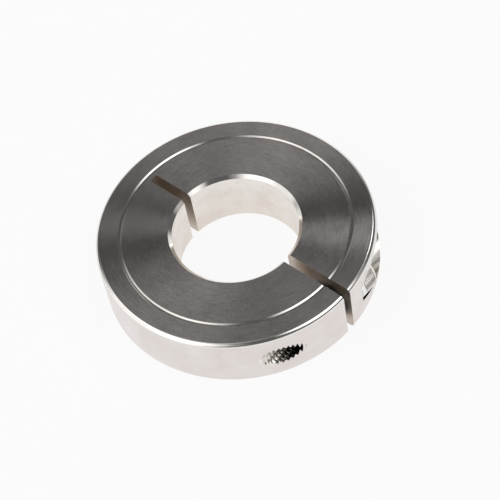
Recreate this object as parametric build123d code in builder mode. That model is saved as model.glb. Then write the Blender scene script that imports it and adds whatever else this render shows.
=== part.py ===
from build123d import *
import os

# A one-piece clamping shaft collar. The ring is slit on one side and half slit on the
# other, and a socket head cap screw draws the slit shut so that the bore grips a shaft.
# Millimetres. Z is the axis of the bore, the lower face lies on Z = 0, and X runs along
# the saw cut, towards its open side. The screw crosses the cut along Y.

# Ring
outer_diameter = 66.0
bore_diameter = 30.0
width = 14.6
rim_round = 0.9  # radius on the two outer rims
bore_chamfer = 0.8  # lead-in at the bore's upper end
bore_break = 0.2  # broken edge at its lower end

# Groove in the upper face, which marks the side to be set against a bearing
groove_inset = 5.7  # outer surface to the groove's middle
groove_width = 1.0
groove_depth = 0.25

# Saw cut: one plunge of a slitting saw, right through one side and part way into the other
slot_width = 2.2
saw_diameter = 100.0
hinge_wall = 6.6  # metal left behind the cut, which bends when the screw is tightened

# Clamp screw, M6 x 16 with a socket head
thread_diameter = 6.0
screw_length = 16.0  # under the head
head_diameter = 10.2  # over the knurl
head_height = 6.0
head_chamfer = 0.9
foot_chamfer = 0.3  # lower edge of the head
tip_chamfer = 0.6
key_size = 5.0  # across the flats of the socket
key_depth = 3.0
key_lead = 0.25  # chamfer at the socket's mouth
drill_slope = 0.577  # depth of a 120 degree drill point for each millimetre of its radius

# Where the screw sits in the ring
screw_inset = 5.5  # outer surface to the screw's axis
jaw_grip = 4.6  # metal between the cut and the shoulder under the head
head_clearance = 0.5  # all round, between the head and its counterbore
shank_clearance = 0.3  # all round, in the plain hole under the head
thread_clearance = 0.05  # all round, in the threaded jaw
underhead_gap = 0.05  # between the cone under the head and the edge of its hole

# Places worked out from the sizes above
outer_radius = outer_diameter / 2
bore_radius = bore_diameter / 2
middle = width / 2
screw_x = outer_radius - screw_inset
shoulder_y = slot_width / 2 + jaw_grip
thread_radius = thread_diameter / 2
head_radius = head_diameter / 2
underhead_cone = shank_clearance - underhead_gap
head_top_y = shoulder_y + head_height
saw_radius = saw_diameter / 2
saw_centre_x = saw_radius - (outer_radius - hinge_wall)
groove_radius = outer_radius - groove_inset

with BuildPart() as collar_body:
    with BuildSketch():
        Circle(outer_radius)
        Circle(bore_radius, mode=Mode.SUBTRACT)
    extrude(amount=width)
    rims_by_size = collar_body.edges().filter_by(GeomType.CIRCLE).group_by(SortBy.RADIUS)
    fillet(rims_by_size[-1], rim_round)
    bore_ends = rims_by_size[0].sort_by(Axis.Z)
    chamfer(bore_ends[-1], bore_chamfer)
    chamfer(bore_ends[0], bore_break)
    # Groove: a pointed tool carried once round the upper face
    with BuildSketch(Plane.XZ):
        with BuildLine():
            Polyline(
                (groove_radius - groove_width / 2, width),
                (groove_radius, width - groove_depth),
                (groove_radius + groove_width / 2, width),
                close=True,
            )
        make_face()
    revolve(axis=Axis.Z, mode=Mode.SUBTRACT)
    # Saw cut: the disc that one plunge of the saw sweeps out, short of the ring's far side
    with BuildSketch(Plane.XZ):
        with Locations((saw_centre_x, middle)):
            Circle(saw_radius)
    extrude(amount=slot_width / 2, both=True, mode=Mode.SUBTRACT)
    # Head side: counterbore down to the shoulder, then a plain hole into the saw cut
    with Locations(Plane((screw_x, outer_radius, middle), x_dir=(1, 0, 0), z_dir=(0, 1, 0))):
        CounterBoreHole(
            radius=thread_radius + shank_clearance,
            counter_bore_radius=head_radius + head_clearance,
            counter_bore_depth=outer_radius - shoulder_y,
            depth=outer_radius,
        )
    # Threaded side: a hole at the thread's full diameter, from the cut out through the rim
    with Locations(Plane((screw_x, -outer_radius, middle), x_dir=(1, 0, 0), z_dir=(0, -1, 0))):
        Hole(radius=thread_radius + thread_clearance, depth=outer_radius)
collar_body.part.label = "collar_body"

with BuildPart() as clamp_screw:
    # Half section beside the screw's axis: local Y runs up from the seat under the head
    with BuildSketch(Plane((screw_x, shoulder_y, middle), x_dir=(1, 0, 0), z_dir=(0, 0, 1))):
        with BuildLine():
            Polyline(
                (0, -screw_length),
                (thread_radius - tip_chamfer, -screw_length),
                (thread_radius, tip_chamfer - screw_length),
                (thread_radius, 0),
                (head_radius - foot_chamfer, 0),
                (head_radius, foot_chamfer),
                (head_radius, head_height - head_chamfer),
                (head_radius - head_chamfer, head_height),
                (0, head_height),
                close=True,
            )
        make_face()
    revolve(axis=Axis((screw_x, 0, middle), (0, 1, 0)))
    seat_rings = clamp_screw.edges().filter_by(GeomType.CIRCLE).filter_by_position(
        Axis.Y, shoulder_y, shoulder_y
    )
    chamfer(seat_rings.sort_by(SortBy.RADIUS)[0], underhead_cone)
    # Hexagon socket with a drilled bottom
    head_top = Plane((screw_x, head_top_y, middle), x_dir=(1, 0, 0), z_dir=(0, 1, 0))
    with BuildSketch(head_top):
        RegularPolygon(radius=key_size / 2, side_count=6, major_radius=False)
    extrude(amount=-key_depth, mode=Mode.SUBTRACT)
    mouth = clamp_screw.edges().filter_by(GeomType.LINE).group_by(Axis.Y)[-1]
    chamfer(mouth, key_lead)
    drill_depth = drill_slope * key_size / 2
    with Locations(head_top.offset(-key_depth - drill_depth / 2)):
        Cone(bottom_radius=0, top_radius=key_size / 2, height=drill_depth, mode=Mode.SUBTRACT)
clamp_screw.part.label = "clamp_screw"

os.makedirs("parts", exist_ok=True)
export_step(collar_body.part, "parts/collar_body.step")
export_step(clamp_screw.part, "parts/clamp_screw.step")
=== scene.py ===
import math
import bpy
import numpy as np
from mathutils import Matrix, Vector


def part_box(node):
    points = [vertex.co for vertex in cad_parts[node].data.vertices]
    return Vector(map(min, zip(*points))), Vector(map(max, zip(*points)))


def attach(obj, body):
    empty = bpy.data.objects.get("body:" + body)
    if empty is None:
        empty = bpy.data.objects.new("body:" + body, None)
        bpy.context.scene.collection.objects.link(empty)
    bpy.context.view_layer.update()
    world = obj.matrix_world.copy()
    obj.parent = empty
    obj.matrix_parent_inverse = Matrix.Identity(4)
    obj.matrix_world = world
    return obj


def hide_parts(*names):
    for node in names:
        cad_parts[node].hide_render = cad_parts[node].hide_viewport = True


# A clamping shaft collar on a white table. The ring and its screw come from the frame,
# which gives their places. Both are made again here with a finer surface: the ring is a
# turned grid that is sawn and bored, the screw is a turned grid with a knurl and a thread.

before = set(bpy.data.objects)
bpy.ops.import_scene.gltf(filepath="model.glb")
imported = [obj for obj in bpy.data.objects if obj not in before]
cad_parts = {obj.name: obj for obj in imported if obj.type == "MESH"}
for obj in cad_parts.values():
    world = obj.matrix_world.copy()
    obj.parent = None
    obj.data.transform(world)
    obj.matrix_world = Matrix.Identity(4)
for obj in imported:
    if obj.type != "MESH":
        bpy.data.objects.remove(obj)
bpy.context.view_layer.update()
ringLow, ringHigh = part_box("collar_body")
screwLow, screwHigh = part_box("clamp_screw")
mm = 0.001
outerRadius = ringHigh.y
width = ringHigh.z
middle = width / 2
screwX = (screwLow.x + screwHigh.x) / 2
headRadius = (screwHigh.x - screwLow.x) / 2
headTop = screwHigh.y
screwTip = screwLow.y
print("frame: ring radius", round(outerRadius / mm, 2), "mm, width", round(width / mm, 2), "mm")


# Mesh tools

def gridFaces(rows, columns, closeRows):
    # corner numbers of the quads between neighbouring rows; columns always run round
    j = np.arange(rows if closeRows else rows - 1)[:, None]
    i = np.arange(columns)[None, :]
    nextJ, nextI = (j + 1) % rows, (i + 1) % columns
    corners = (j * columns + i, j * columns + nextI, nextJ * columns + nextI, nextJ * columns + i)
    return np.stack(corners, axis=-1).reshape(-1, 4)


def signedVolume(points, faces):
    # a sixth of the triple product of each triangle of a fan, summed: positive if faces look out
    total = 0.0
    for k in range(1, faces.shape[1] - 1):
        a, b, c = points[faces[:, 0]], points[faces[:, k]], points[faces[:, k + 1]]
        total += np.einsum("ij,ij->i", a, np.cross(b, c)).sum()
    return total / 6


def gridSolid(name, grid, materials, strips, closeRows=False):
    # grid is rows x columns x 3, and strips gives the material's number between two rows.
    # A closed profile joins its last row to its first, and an open one is closed by a point
    # in the middle of its first and of its last row.
    rows, columns = grid.shape[:2]
    points = grid.reshape(-1, 3)
    quads = gridFaces(rows, columns, closeRows)
    paint = np.repeat(strips, columns)
    fans = np.zeros((0, 3), int)
    if not closeRows:
        poles = np.stack([grid[0].mean(0), grid[-1].mean(0)])
        first, last = len(points), len(points) + 1
        points = np.concatenate([points, poles])
        i = np.arange(columns)
        nextI = (i + 1) % columns
        base = (rows - 1) * columns
        start = np.stack([np.full(columns, first), nextI, i], axis=-1)
        end = np.stack([np.full(columns, last), base + i, base + nextI], axis=-1)
        fans = np.concatenate([start, end])
        paint = np.concatenate([paint, np.full(columns, strips[0]), np.full(columns, strips[-1])])
    if signedVolume(points, quads) + (signedVolume(points, fans) if len(fans) else 0) < 0:
        quads, fans = quads[:, ::-1], fans[:, ::-1]
    mesh = bpy.data.meshes.new(name)
    mesh.from_pydata(points.tolist(), [], quads.tolist() + fans.tolist())
    for material in materials:
        mesh.materials.append(material)
    mesh.polygons.foreach_set("material_index", paint.astype(np.int32))
    mesh.update()
    made = bpy.data.objects.new(name, mesh)
    bpy.context.scene.collection.objects.link(made)
    return made


def once(steps):
    # angles in even steps once round a circle, without the one that closes it
    return np.linspace(0, 2 * math.pi, steps, endpoint=False)


def aboutZ(profile, segments):
    # each profile point (radius, height) is turned once round the Z axis: x is the radius times
    # the cosine of the turn, and y the radius times its sine
    turn = once(segments)
    r, z = profile[:, :1], profile[:, 1:]
    return np.stack([r * np.cos(turn), r * np.sin(turn), z + 0 * turn], axis=-1)


def aboutScrew(along, radius, turn):
    # round the screw's axis, which lies along Y: x is the radius times the cosine of the turn,
    # z the radius times its sine, and y is along
    x = screwX + radius * np.cos(turn)
    z = middle + radius * np.sin(turn)
    return np.stack([x, along + 0 * radius, z], axis=-1)


def rimArc(size, start, end, steps):
    # from (-size, 0) to (0, -size) about the corner (0, 0): a bow that leaves the first flat by
    # start degrees and meets the second by end degrees; its radius is half the chord over the
    # sine of half the turn, and it is turned so that its chord runs from corner to corner
    half = math.radians(90 - start - end) / 2
    radius = size * math.sqrt(2) / 2 / math.sin(half)
    first = math.radians(90 - start)
    angle = np.linspace(first, first - 2 * half, steps + 1)
    bow = np.stack([radius * np.cos(angle), radius * np.sin(angle)], axis=-1)
    bow -= bow[0]
    run = math.atan2(bow[-1, 1], bow[-1, 0]) + math.pi / 4
    turned = np.array([[math.cos(run), -math.sin(run)], [math.sin(run), math.cos(run)]])
    return bow @ turned + (-size, 0)


def cutAway(body, cutters):
    # takes the cutters out of the body, keeps their finishes on the new walls, and drops them
    for cutter in cutters:
        cut = body.modifiers.new(cutter.name, "BOOLEAN")
        cut.operation = "DIFFERENCE"
        cut.solver = "EXACT"
        cut.material_mode = "TRANSFER"
        cut.object = cutter
    graph = bpy.context.evaluated_depsgraph_get()
    finished = bpy.data.meshes.new_from_object(body.evaluated_get(graph))
    body.modifiers.clear()
    body.data = finished
    for cutter in cutters:
        bpy.data.objects.remove(cutter)


def smoothShade(piece, degrees):
    # smooth faces that meet at less than the angle, and leave sharper edges crisp
    mesh = piece.data
    mesh.polygons.foreach_set("use_smooth", np.ones(len(mesh.polygons), bool))
    mesh.set_sharp_from_angle(angle=math.radians(degrees))
    mesh.update()


# Shader tools

class Wire:
    # a node's output that can be used in sums with numbers and other wires
    def __init__(self, tree, socket):
        self.tree, self.socket = tree, socket

    def maths(self, operation, *values, clamp=False):
        made = self.tree.nodes.new("ShaderNodeMath")
        made.operation = operation
        made.use_clamp = clamp
        for slot, value in zip(made.inputs, values):
            feed(self.tree, slot, value)
        return Wire(self.tree, made.outputs[0])

    def __add__(self, other): return self.maths("ADD", self, other)
    def __radd__(self, other): return self.maths("ADD", other, self)
    def __sub__(self, other): return self.maths("SUBTRACT", self, other)
    def __rsub__(self, other): return self.maths("SUBTRACT", other, self)
    def __mul__(self, other): return self.maths("MULTIPLY", self, other)
    def __rmul__(self, other): return self.maths("MULTIPLY", other, self)
    def __truediv__(self, other): return self.maths("DIVIDE", self, other)
    def __rtruediv__(self, other): return self.maths("DIVIDE", other, self)
    def root(self): return self.maths("SQRT", self)
    def within(self): return self.maths("ADD", self, 0.0, clamp=True)

    def rise(self, low, high):
        # 0 at low, 1 at high, straight between them and level beyond them
        return ((self - low) / (high - low)).within()


def feed(tree, slot, value):
    if isinstance(value, Wire):
        tree.links.new(value.socket, slot)
    else:
        slot.default_value = value


class Finish:
    # a material, or the world, and the one way to add a node to it
    def __init__(self, owner):
        self.owner = owner
        owner.use_nodes = True
        self.tree = owner.node_tree
        self.tree.nodes.clear()

    def node(self, kind, settings=None, sockets=None, output=0):
        # output is the output that is wanted, or a list of them
        made = self.tree.nodes.new(kind)
        for key, value in (settings or {}).items():
            setattr(made, key, value)
        for key, value in (sockets or {}).items():
            feed(self.tree, made.inputs[key], value)
        if isinstance(output, list):
            return [Wire(self.tree, made.outputs[key]) for key in output]
        return Wire(self.tree, made.outputs[output]) if len(made.outputs) else None

    def parts(self, vector):
        return self.node("ShaderNodeSeparateXYZ", sockets={0: vector}, output=[0, 1, 2])

    def place(self):
        # the piece's own coordinates in millimetres, as three wires
        return [part / mm for part in self.parts(self.node("ShaderNodeTexCoord", output="Object"))]

    def vector(self, x, y, z):
        return self.node("ShaderNodeCombineXYZ", sockets={"X": x, "Y": y, "Z": z})

    def noise(self, where, scale=1.0, detail=3.0, roughness=0.6):
        sockets = {"Vector": where, "Scale": scale, "Detail": detail, "Roughness": roughness}
        return self.node("ShaderNodeTexNoise", sockets=sockets)

    def blend(self, share, first, second):
        settings = {"data_type": "RGBA", "blend_type": "MIX"}
        return self.node("ShaderNodeMix", settings, {0: share, 6: first, 7: second}, output=2)

    def bump(self, height, depth):
        return self.node("ShaderNodeBump", sockets={"Height": height, "Distance": depth})

    def metal(self, sockets):
        made = self.node("ShaderNodeBsdfPrincipled", sockets={"Metallic": 1.0, **sockets})
        self.node("ShaderNodeOutputMaterial", sockets={"Surface": made})
        return self.owner


def newFinish(name):
    return Finish(bpy.data.materials.new(name))


def swing(base, *shares):
    # base and, for each noise, its share times its distance from a mean of a half
    for share, noise in shares:
        base = base + share * (noise - 0.5)
    return base


def distance(x, y):
    # the root of the sum of both squares
    return (x * x + y * y).root()


# Finishes of the ring. A share says how strongly a noise shows.

acrossMarks = 0.25  # a quarter turn, so that light spreads across the turning marks
halfTone = 0.5  # halfway between a finish's two colours
facing = {
    "dark": (0.36, 0.345, 0.34, 1),
    "light": (0.50, 0.48, 0.475, 1),
    "ringsPerMillimetre": 2.6,
    "ringBreaks": 8.0,  # how fast a ring changes along its way
    "ringShare": 1.1,
    "specksPerMillimetre": 2.0,
    "speckShare": 1.4,
    "cloudsPerMillimetre": 0.14,
    "cloudShare": 0.9,
    "roughness": 0.22,
    "cloudRoughness": 0.04,
    "ringRoughness": 0.06,
    "ringDepth": 0.0012 * mm,
    "anisotropy": 1.0,
}


def makeFacing(name):
    # the faced ends: fine rings round the bore, with specks and faint clouds over them
    finish = newFinish(name)
    x, y, z = finish.place()
    spot = finish.vector(x, y, z)
    r = distance(x, y)
    breaks = facing["ringBreaks"]
    across = finish.vector(r * facing["ringsPerMillimetre"], x / r * breaks, y / r * breaks)
    rings = finish.noise(across)
    specks = finish.noise(spot, facing["specksPerMillimetre"], detail=2.0)
    clouds = finish.noise(spot, facing["cloudsPerMillimetre"], roughness=0.55)
    tone = swing(
        halfTone,
        (facing["ringShare"], rings),
        (facing["speckShare"], specks),
        (facing["cloudShare"], clouds),
    ).within()
    rough = (facing["cloudRoughness"], clouds), (facing["ringRoughness"], rings)
    return finish.metal({
        "Base Color": finish.blend(tone, facing["dark"], facing["light"]),
        "Roughness": swing(facing["roughness"], *rough),
        "Anisotropic": facing["anisotropy"],
        "Anisotropic Rotation": acrossMarks,
        "Normal": finish.bump(rings, facing["ringDepth"]),
    })


wall = {
    "dark": (0.70, 0.635, 0.605, 1),
    "light": (0.84, 0.80, 0.785, 1),
    "ringsPerMillimetre": 7.0,
    "ringBreaks": 1.2,
    "ringShare": 0.5,
    "cloudsPerMillimetre": 0.13,
    "cloudShare": 1.7,
    "roughness": 0.24,
    "cloudRoughness": 0.12,
    "ringDepth": 0.0015 * mm,
    "anisotropy": 0.5,
}


def makeWall(name):
    # the turned rim: fine rings across its width and a few warm stains
    finish = newFinish(name)
    x, y, z = finish.place()
    r = distance(x, y)
    breaks = wall["ringBreaks"]
    across = finish.vector(z * wall["ringsPerMillimetre"], x / r * breaks, y / r * breaks)
    rings = finish.noise(across)
    clouds = finish.noise(finish.vector(x, y, z), wall["cloudsPerMillimetre"])
    tone = swing(halfTone, (wall["ringShare"], rings), (wall["cloudShare"], clouds)).within()
    return finish.metal({
        "Base Color": finish.blend(tone, wall["dark"], wall["light"]),
        "Roughness": swing(wall["roughness"], (wall["cloudRoughness"], clouds)),
        "Anisotropic": wall["anisotropy"],
        "Anisotropic Rotation": acrossMarks,
        "Normal": finish.bump(rings, wall["ringDepth"]),
    })


polished = {
    "dark": (0.74, 0.72, 0.70, 1),
    "light": (0.86, 0.84, 0.82, 1),
    "roughness": 0.09,
}
grooved = {
    "dark": (0.50, 0.48, 0.46, 1),
    "light": (0.66, 0.64, 0.62, 1),
    "roughness": 0.17,
}
polish = {
    "grainPerMillimetre": 0.9,
    "grainRoughness": 0.06,
    "anisotropy": 0.3,
}


def makePolished(name, look):
    # the rounded rims, the groove and the lead-in of the bore: cut last, and brightest
    finish = newFinish(name)
    spot = finish.vector(*finish.place())
    grain = finish.noise(spot, polish["grainPerMillimetre"], detail=2.0, roughness=0.5)
    return finish.metal({
        "Base Color": finish.blend(grain, look["dark"], look["light"]),
        "Roughness": swing(look["roughness"], (polish["grainRoughness"], grain)),
        "Anisotropic": polish["anisotropy"],
        "Anisotropic Rotation": acrossMarks,
    })


bored = {
    "clean": (0.90, 0.86, 0.825, 1),
    "warm": (0.74, 0.665, 0.59, 1),
    "stain": (0.22, 0.67),  # its share at the top of the bore, and low down
    "stainHeights": (1.0, middle * 1.7 / mm),  # millimetres between which it thins out
    "ringsPerMillimetre": 5.0,
    "ringBreaks": 6.0,
    "ringShare": 0.5,
    "cloudsPerMillimetre": 0.13,
    "cloudShare": 1.6,
    "grainPerMillimetre": 2.4,
    "grainShare": 0.9,
    "roughness": 0.34,
    "grainRoughness": 0.2,
    "markDepth": 0.004 * mm,
}


def makeBored(name):
    # the bore: a duller wall with short marks round it, grain, and warm stains low down
    finish = newFinish(name)
    x, y, z = finish.place()
    spot = finish.vector(x, y, z)
    r = distance(x, y)
    breaks = bored["ringBreaks"]
    across = finish.vector(z * bored["ringsPerMillimetre"], x / r * breaks, y / r * breaks)
    rings = finish.noise(across)
    grain = finish.noise(spot, bored["grainPerMillimetre"], detail=2.0, roughness=0.7)
    clouds = finish.noise(spot, bored["cloudsPerMillimetre"])
    least, most = bored["stain"]
    stain = swing(
        least + (most - least) * (1 - z.rise(*bored["stainHeights"])),
        (bored["cloudShare"], clouds),
        (bored["grainShare"], grain),
        (bored["ringShare"], rings),
    ).within()
    return finish.metal({
        "Base Color": finish.blend(stain, bored["clean"], bored["warm"]),
        "Roughness": swing(bored["roughness"], (bored["grainRoughness"], grain)),
        "Normal": finish.bump(rings * 0.5 + grain * 0.5, bored["markDepth"]),
    })


sawn = {
    "dark": (0.42, 0.355, 0.30, 1),
    "light": (0.74, 0.66, 0.58, 1),
    "marksPerMillimetre": 3.0,
    "markShare": 1.3,
    "cloudsPerMillimetre": 0.35,
    "cloudShare": 0.9,
    # painted shade on the saw cut's walls round the screw, where it crosses the cut
    "screwShadeColor": (0.05, 0.042, 0.034, 1),
    "screwShadeReach": (5.8, 4.0),  # millimetres from the screw's axis at which it begins and is full
    "screwShadeShown": (0.6, 0.8),  # the share that always shows, and what the clouds add to it
    "roughness": 0.40,
    "markRoughness": 0.15,
    "markDepth": 0.006 * mm,
}


def makeSawn(name, sawX):
    # the saw cut: brownish walls with the saw's curved marks, and painted shade round the screw
    finish = newFinish(name)
    x, y, z = finish.place()
    level = z - middle / mm
    fromSaw = distance(x - sawX / mm, level)
    marks = finish.noise(finish.vector(fromSaw * sawn["marksPerMillimetre"], y, 0.0))
    spot = finish.vector(x, y, z)
    clouds = finish.noise(spot, sawn["cloudsPerMillimetre"], detail=2.0, roughness=0.5)
    tone = swing(halfTone, (sawn["markShare"], marks), (sawn["cloudShare"], clouds)).within()
    steel = finish.blend(tone, sawn["dark"], sawn["light"])
    always, cloudy = sawn["screwShadeShown"]
    # painted shade round the screw, broken by the clouds
    near = distance(x - screwX / mm, level).rise(*sawn["screwShadeReach"])
    screwShade = near * (always + cloudy * clouds).within()
    return finish.metal({
        "Base Color": finish.blend(screwShade, steel, sawn["screwShadeColor"]),
        "Roughness": swing(sawn["roughness"], (sawn["markRoughness"], marks)),
        "Normal": finish.bump(marks, sawn["markDepth"]),
    })


drilled = {
    "light": (0.86, 0.84, 0.79, 1),
    # the dark colour is painted shade deep in the counterbore and the plain hole
    "dark": (0.20, 0.185, 0.16, 1),
    "depths": (18.5, 14.0),  # y in millimetres between which painted shade darkens the wall inwards
    "ringsPerMillimetre": 6.0,
    "ringBreaks": 0.3,
    "ringShare": 0.5,
    "roughness": 0.18,
    "ringRoughness": 0.1,
    "ringDepth": 0.002 * mm,
}


def makeDrilled(name):
    # the counterbore and the plain hole, with rings along the drill's way and painted shade further
    # in
    finish = newFinish(name)
    x, y, z = finish.place()
    breaks = drilled["ringBreaks"]
    across = finish.vector(y * drilled["ringsPerMillimetre"], x * breaks, z * breaks)
    rings = finish.noise(across, detail=2.0, roughness=0.5)
    # painted shade that deepens inwards, broken by the drill's rings
    paintedShade = swing(y.rise(*drilled["depths"]), (drilled["ringShare"], rings)).within()
    return finish.metal({
        "Base Color": finish.blend(paintedShade, drilled["light"], drilled["dark"]),
        "Roughness": swing(drilled["roughness"], (drilled["ringRoughness"], rings)),
        "Normal": finish.bump(rings, drilled["ringDepth"]),
    })


tapped = {
    "bright": (0.86, 0.84, 0.80, 1),
    # partly oil, partly painted shade deep in the hole
    "oilAndShadeColor": (0.10, 0.09, 0.08, 1),
    "depths": (-20.0, -13.5),  # y in millimetres where the oil and the painted shade of the deep hole begin, and where they are full
    "grainPerMillimetre": 1.1,
    "grainShare": 0.5,
    "roughness": 0.2,
    "grainRoughness": 0.1,
}


def makeTapped(name):
    # the tapped hole: bright at its mouth, and dark further in with oil and with painted shade of
    # the deep hole
    finish = newFinish(name)
    x, y, z = finish.place()
    grain = finish.noise(finish.vector(x, y, z), tapped["grainPerMillimetre"], detail=2.0)
    # oil and painted shade that deepen inwards, broken by the grain
    oilAndShade = swing(y.rise(*tapped["depths"]), (tapped["grainShare"], grain)).within()
    return finish.metal({
        "Base Color": finish.blend(oilAndShade, tapped["bright"], tapped["oilAndShadeColor"]),
        "Roughness": swing(tapped["roughness"], (tapped["grainRoughness"], grain)),
    })


# The ring

ring = {
    "segments": 720,
    "boreRadius": 15.0 * mm,
    "rimRound": 0.9 * mm,
    "rimStart": 25,  # degrees by which the round leaves the face
    "rimEnd": 8,  # and by which it meets the wall
    "rimSteps": 9,
    "flatStrip": 0.04 * mm,  # beside each round, to keep the flats flat
    "boreChamfer": 0.8 * mm,
    "boreBreak": 0.2 * mm,
    "grooveRadius": outerRadius - 5.7 * mm,
    "grooveWidth": 0.9 * mm,
    "grooveFloor": 0.16 * mm,
    "grooveDepth": 0.25 * mm,
    "sawRadius": 50.0 * mm,
    "sawSegments": 360,
    "slotWidth": 2.2 * mm,
    "hingeWall": 6.6 * mm,
    "shoulder": 5.68 * mm,  # from the middle of the saw cut; a hair below the head's seat
    "shankHole": 3.3 * mm,
    "headHole": headRadius + 0.5 * mm,
    "holeSegments": 180,
    "tappedHole": 3.05 * mm,
    "sharpEdge": 20,  # degrees between faces, from which an edge stays crisp
}
thread = {
    "pitch": 1.0 * mm,
    "depth": 0.58 * mm,
    "crestFlat": 0.14,  # shares of the pitch
    "rootFlat": 0.22,
    "rowsPerPitch": 12,
    "segments": 72,
    "free": 0.45 * mm,  # from the screw's tip to the first thread that shows in the hole
    "step": 0.02 * mm,  # from the plain hole to that thread
    "reach": 0.8,  # how much of the ring's radius the tapped rows cover beyond that place
}
sawX = ring["sawRadius"] - (outerRadius - ring["hingeWall"])
finishes = {
    "facing": makeFacing("facedSteel"),
    "wall": makeWall("turnedSteel"),
    "polished": makePolished("polishedEdge", polished),
    "grooved": makePolished("groovedLine", grooved),
    "bored": makeBored("boredSteel"),
    "sawn": makeSawn("sawnSteel", sawX),
    "drilled": makeDrilled("drilledSteel"),
    "tapped": makeTapped("tappedSteel"),
}
print("finishes of the ring made")


def ringProfile():
    # the section of the ring, walked once round, and the finish of each stretch of it
    bore, chamfer = ring["boreRadius"], ring["boreChamfer"]
    rim, flat = ring["rimRound"], ring["flatStrip"]
    bow = rimArc(rim, ring["rimStart"], ring["rimEnd"], ring["rimSteps"])
    groove, half = ring["grooveRadius"], ring["grooveFloor"] / 2
    floor = width - ring["grooveDepth"]
    inner, outer = groove - ring["grooveWidth"] / 2, groove + ring["grooveWidth"] / 2
    wallTop = [(outerRadius, width - rim - flat), (outerRadius, width - rim)]
    stretches = [
        ("facing", [(bore + ring["boreBreak"], 0), (outerRadius - rim - flat, 0)]),
        ("facing", [(outerRadius - rim, 0)]),
        ("polished", (bow * (1, -1) + (outerRadius, 0))[1:]),
        ("wall", [(outerRadius, rim + flat)] + wallTop),
        ("polished", (bow + (outerRadius, width))[::-1][1:]),
        ("facing", [(outerRadius - rim - flat, width), (outer, width)]),
        ("grooved", [(groove + half, floor)]),
        ("grooved", [(groove - half, floor), (inner, width)]),
        ("facing", [(bore + chamfer, width)]),
        ("polished", [(bore, width - chamfer)]),
        ("bored", [(bore, ring["boreBreak"])]),
        ("polished", []),
    ]
    points = np.concatenate([np.reshape(part, (-1, 2)) for name, part in stretches])
    names = [name for name, part in stretches[1:-1] for point in part]
    return points, ["facing"] + names + ["polished"]


def threadRadius(along, turn, crown, root):
    # the phase is the pitches passed along the axis less the turns made: the radius is the
    # crown's near half a phase, the root's near a whole one, and straight between them
    phase = (along / thread["pitch"] - turn / (2 * math.pi)) % 1.0
    flank = (1 - thread["crestFlat"] - thread["rootFlat"]) / 2
    fall = np.abs(phase - 0.5)
    share = np.clip((fall - thread["crestFlat"] / 2) / flank, 0, 1)
    return crown + (root - crown) * share


def sawCutter():
    # a disc: x and z run round the saw's middle, and y goes from one side of the cut to the other
    turn = once(ring["sawSegments"])
    side = np.array([[-1], [1]]) * ring["slotWidth"] / 2 + 0 * turn
    x = sawX + ring["sawRadius"] * np.cos(turn) + 0 * side
    z = middle + ring["sawRadius"] * np.sin(turn) + 0 * side
    return gridSolid("saw", np.stack([x, side, z], axis=-1), [finishes["sawn"]], np.zeros(1, int))


def headHoleCutter():
    # a stepped plug: the plain hole up to the shoulder, and the counterbore out through the rim
    turn = once(ring["holeSegments"])
    shoulder, plain, wide = ring["shoulder"], ring["shankHole"], ring["headHole"]
    along = np.array([[0.0], [shoulder], [shoulder], [outerRadius]])
    radius = np.array([[plain], [plain], [wide], [wide]])
    grid = aboutScrew(along, radius + 0 * turn, turn)
    return gridSolid("headHole", grid, [finishes["drilled"]], np.zeros(3, int))


def tappedHoleCutter():
    # a plain plug along the shank, and beyond the screw's tip one with the radius of a thread
    turn = once(thread["segments"])
    start = screwTip - thread["free"]
    rows = int((start + outerRadius * thread["reach"]) / thread["pitch"] * thread["rowsPerPitch"])
    threaded = np.linspace(start, start - rows * thread["pitch"] / thread["rowsPerPitch"], rows + 1)
    along = np.concatenate([[0.0, start + thread["step"]], threaded])[:, None]
    radius = threadRadius(along, turn, ring["tappedHole"], ring["tappedHole"] - thread["depth"])
    radius[:2] = ring["tappedHole"]
    grid = aboutScrew(along, radius, turn)
    return gridSolid("tappedHole", grid, [finishes["tapped"]], np.zeros(len(along) - 1, int))


def makeRing():
    order = ["facing", "wall", "polished", "grooved", "bored"]
    points, names = ringProfile()
    strips = np.array([order.index(name) for name in names])
    grid = aboutZ(points, ring["segments"])
    body = gridSolid("ring", grid, [finishes[name] for name in order], strips, closeRows=True)
    cutAway(body, [sawCutter(), headHoleCutter(), tappedHoleCutter()])
    smoothShade(body, ring["sharpEdge"])
    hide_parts("collar_body")
    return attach(body, "collar")


ringPiece = makeRing()
print("ring made:", len(ringPiece.data.polygons), "faces")


# The screw

screw = {
    "segments": 360,
    "shankRadius": 3.0 * mm,
    "seat": headTop - 6.0 * mm,
    "headChamfer": 0.9 * mm,
    "footChamfer": 0.3 * mm,
    "tipChamfer": 0.6 * mm,
    "underhead": 0.25 * mm,
    "keySize": 5.0 * mm,
    "keyDepth": 3.0 * mm,
    "keyLead": 0.25 * mm,
    "drillRoom": 0.02 * mm,  # from the drill's radius to the flats of the key hole
    "drillTip": 0.01,  # share of the drill's radius at which its cone is closed
    "drillSlope": 0.577,
    "diamonds": 60,
    "knurlDepth": 0.2 * mm,
    "knurlPitch": 0.54 * mm,
    "knurlFade": 0.15 * mm,  # from its ends to its full depth
    "plainFoot": 1.2 * mm,  # smooth band between the seat and the knurl
    "rowsPerDiamond": 7,
    "plainShank": 0.6 * mm,  # from the seat to the thread
    "threadRun": 1.2,  # pitches over which the thread grows to its depth
    "sharpEdge": 26,
}
screwSteel = {
    "head": ((0.78, 0.755, 0.73, 1), (0.95, 0.93, 0.91, 1)),  # its darkest and its lightest
    "shank": ((0.50, 0.48, 0.45, 1), (0.72, 0.70, 0.67, 1)),
    # painted shade in the hollows of the knurl
    "paintedShade": (0.30, 0.27, 0.24, 1),
    "paintedShadeShown": 0.6,
    "paintedShadeReach": (0.4, 0.2),  # millimetres under the head's surface where the painted shade begins and is full
    "grainPerMillimetre": 1.6,
    "roughness": 0.20,
    "grainRoughness": 0.14,
}


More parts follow.
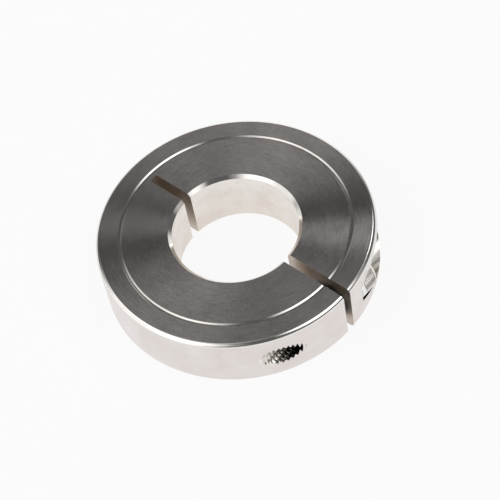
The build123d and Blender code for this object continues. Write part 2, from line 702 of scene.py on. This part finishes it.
def makeScrewSteel(name, dark, light):
    # bright steel with painted shade in the hollows of the knurl
    finish = newFinish(name)
    x, y, z = finish.place()
    r = distance(x - screwX / mm, z - middle / mm)
    grain = finish.noise(finish.vector(x, y, z), screwSteel["grainPerMillimetre"], detail=2.0)
    # painted shade: darker in the knurl's hollows, on the head's side only
    hollow = 1 - r.rise((headRadius - screw["knurlDepth"]) / mm, headRadius / mm)
    begin, full = screwSteel["paintedShadeReach"]
    side = r.rise(headRadius / mm - begin, headRadius / mm - full)
    paintedShade = hollow * side * screwSteel["paintedShadeShown"]
    return finish.metal({
        "Base Color": finish.blend(paintedShade, finish.blend(grain, dark, light), screwSteel["paintedShade"]),
        "Roughness": swing(screwSteel["roughness"], (screwSteel["grainRoughness"], grain)),
    })


def hexRadius(turn, acrossFlats):
    # from the middle of a hexagon to its side: half its width across the flats, over the cosine
    # of the angle from the middle of the nearest side
    sixth = math.pi / 3
    away = (turn + sixth / 2) % sixth - sixth / 2
    return acrossFlats / 2 / np.cos(away)


def knurl(along, turn):
    # two families of slanting grooves leave small pyramids, 0 to 1 high: 1 less the greater of
    # two zigzags, each of them twice the distance of its phase from a half
    lead = along / screw["knurlPitch"] / 2
    count = turn / (2 * math.pi) * screw["diamonds"]
    first = np.abs(((count + lead) % 1.0) - 0.5) * 2
    second = np.abs(((count - lead) % 1.0) - 0.5) * 2
    return 1 - np.maximum(first, second)


def headRows(turn):
    # from the bottom of the key hole out over the head and in under it: y and radius of each row
    seat, shank = screw["seat"], screw["shankRadius"]
    floor = headTop - screw["keyDepth"]
    apex = floor - screw["keySize"] / 2 * screw["drillSlope"]
    drill = screw["keySize"] / 2 - screw["drillRoom"]
    hexagon = hexRadius(turn, screw["keySize"])
    mouth = hexRadius(turn, screw["keySize"] + 2 * screw["keyLead"])
    sideTop, knurlFoot = headTop - screw["headChamfer"], seat + screw["plainFoot"]
    count = int((sideTop - knurlFoot) / screw["knurlPitch"] * screw["rowsPerDiamond"])
    sides = np.linspace(sideTop, knurlFoot, count + 1)[:, None]
    fade = np.clip(np.minimum(sideTop - sides, sides - knurlFoot) / screw["knurlFade"], 0, 1)
    return [
        (apex, screw["drillTip"] * drill),
        (floor, drill),
        (floor, hexagon),
        (headTop - screw["keyLead"], hexagon),
        (headTop, mouth),
        (headTop, headRadius - screw["headChamfer"]),
        (sides, headRadius - screw["knurlDepth"] * fade * (1 - knurl(sides, turn))),
        (seat + screw["footChamfer"], headRadius),
        (seat, headRadius - screw["footChamfer"]),
        (seat, shank + screw["underhead"]),
        (seat - screw["underhead"], shank),
    ]


def shankRows(turn):
    # the thread, which grows under the head and is cut back to a cone at the tip
    shank, first = screw["shankRadius"], screw["seat"] - screw["plainShank"]
    count = int((first - screwTip) / thread["pitch"] * thread["rowsPerPitch"])
    along = np.linspace(first, screwTip, count + 1)[:, None]
    form = threadRadius(along, turn, shank, shank - thread["depth"])
    share = np.minimum(1.0, (first - along) / (screw["threadRun"] * thread["pitch"]))
    tip = shank - np.maximum(0.0, screw["tipChamfer"] - (along - screwTip))
    return along, np.minimum(shank + (form - shank) * share, tip)


def makeScrew():
    turn = once(screw["segments"])
    bands = headRows(turn) + [shankRows(turn)]
    along = np.concatenate([np.reshape(y, (-1, 1)) for y, radius in bands])
    spread = [np.broadcast_to(radius, (np.size(y), screw["segments"])) for y, radius in bands]
    strips = np.zeros(len(along) - 1, int)
    strips[-(len(spread[-1]) - 1):] = 1
    head = makeScrewSteel("screwHeadSteel", *screwSteel["head"])
    shank = makeScrewSteel("screwThreadSteel", *screwSteel["shank"])
    grid = aboutScrew(along, np.concatenate(spread), turn)
    piece = gridSolid("screw", grid, [head, shank], strips)
    smoothShade(piece, screw["sharpEdge"])
    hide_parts("clamp_screw")
    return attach(piece, "screw")


screwPiece = makeScrew()
print("screw made:", len(screwPiece.data.polygons), "faces")


# Table, light and camera

table = {
    "size": 3.0,
    "color": (0.86, 0.855, 0.85, 1),
    "white": (1.0, 1.0, 1.0, 1),
    "shadowKept": 0.10,
}


def makeTable():
    # a pale floor that the camera and the metal see as white, with a soft shadow left on it
    finish = newFinish("paleTable")
    rays = ["Is Camera Ray", "Is Glossy Ray", "Is Transmission Ray"]
    seen, glossy, through = finish.node("ShaderNodeLightPath", output=rays)
    matt = finish.node("ShaderNodeBsdfDiffuse", sockets={"Color": table["color"]})
    bright = finish.node("ShaderNodeEmission", sockets={"Color": table["white"], "Strength": 1.0})
    share = (seen + glossy + through).within() * (1 - table["shadowKept"])
    mixed = finish.node("ShaderNodeMixShader", sockets={0: share, 1: matt, 2: bright})
    finish.node("ShaderNodeOutputMaterial", sockets={"Surface": mixed})
    half = table["size"] / 2
    mesh = bpy.data.meshes.new("table")
    corners = [(-half, -half, 0), (half, -half, 0), (half, half, 0), (-half, half, 0)]
    mesh.from_pydata(corners, [], [(0, 1, 2, 3)])
    mesh.materials.append(finish.owner)
    top = bpy.data.objects.new("table", mesh)
    bpy.context.scene.collection.objects.link(top)


studio = {
    "horizon": 0.9,  # brightness of the room low down
    "above": 0.125,  # and high up, between its lights
    "fall": (0.09, 0.17),  # sine of the heights between which it falls
    "tint": (1.0, 0.985, 0.97, 1),
}
glows = {
    # name: side from the camera's azimuth, height, reach of full light and of its edge, brightness
    "leftPanel": (-75, 28, 30, 48, 0.91),
    "leftTop": (-95, 60, 14, 36, 0.51),
    "leftFront": (-45, 35, 14, 32, 0.44),
    "rightPanel": (58, 52, 8, 25, 2.40),
    "rightTop": (88, 66, 8, 28, 0.15),
    "rightLow": (82, 26, 4, 13, 0.38),
    "spot": (140, 51, 4.0, 6.5, 4.6),
    "spotSide": (120, 55, 4, 16, 0.40),
    "behind": (172, 18, 12, 32, 0.89),
}


def cosine(degrees):
    return math.cos(math.radians(degrees))


def makeRoom():
    # a pale horizon, a dim ceiling and round soft lights: each is full within its reach and
    # falls to nothing at its edge, by the cosine of the angle from its middle
    world = bpy.data.worlds.new("studio")
    bpy.context.scene.world = world
    finish = Finish(world)
    way = finish.node("ShaderNodeTexCoord", output="Generated")
    height = finish.parts(way)[2]
    level = studio["horizon"] + (studio["above"] - studio["horizon"]) * height.rise(*studio["fall"])
    for side, above, reach, edge, brightness in glows.values():
        toward = lookFrom(photo["azimuth"] + side, above)[2]
        sockets = {0: way, 1: toward}
        near = finish.node("ShaderNodeVectorMath", {"operation": "DOT_PRODUCT"}, sockets, output=1)
        level = level + brightness * near.rise(cosine(edge), cosine(reach))
    glow = finish.node("ShaderNodeBackground", sockets={"Color": studio["tint"], "Strength": level})
    finish.node("ShaderNodeOutputWorld", sockets={"Surface": glow})


photo = {
    "azimuth": 49.13,
    "elevation": 53.16,
    "roll": -11.56,
    "distance": 390.55 * mm,
    "aside": 2.39 * mm,
    "above": 2.79 * mm,
    "lift": 0.03 * mm,
    "lens": 117.28,  # millimetres, as the sensor is
    "sensor": 36.0,
    "clip": (0.01, 20.0),
}


def lookFrom(azimuth, elevation):
    # the unit vectors to the right, upwards and back towards the eye, seen from that side
    a, e = math.radians(azimuth), math.radians(elevation)
    back = Vector((math.sin(a) * math.cos(e), -math.cos(a) * math.cos(e), math.sin(e)))
    right = Vector((math.cos(a), math.sin(a), 0))
    return right, back.cross(right), back


def makeCamera():
    # the eye lies back from the frame's origin and a little aside, and is rolled about its view
    right, up, back = lookFrom(photo["azimuth"], photo["elevation"])
    where = right * photo["aside"] + up * photo["above"] + back * photo["distance"]
    where.z += photo["lift"]
    roll = math.radians(photo["roll"])
    rightRolled = right * math.cos(roll) + up * math.sin(roll)
    upRolled = up * math.cos(roll) - right * math.sin(roll)
    turned = Matrix((rightRolled, upRolled, back)).transposed().to_4x4()
    data = bpy.data.cameras.new("photoCamera")
    data.sensor_width = photo["sensor"]
    data.lens = photo["lens"]
    data.clip_start, data.clip_end = photo["clip"]
    camera = bpy.data.objects.new("photoCamera", data)
    camera.matrix_world = Matrix.Translation(where) @ turned
    bpy.context.scene.collection.objects.link(camera)
    bpy.context.scene.camera = camera


makeTable()
makeRoom()
makeCamera()
bpy.context.scene.view_settings.view_transform = "Standard"
print("table, light and camera placed")
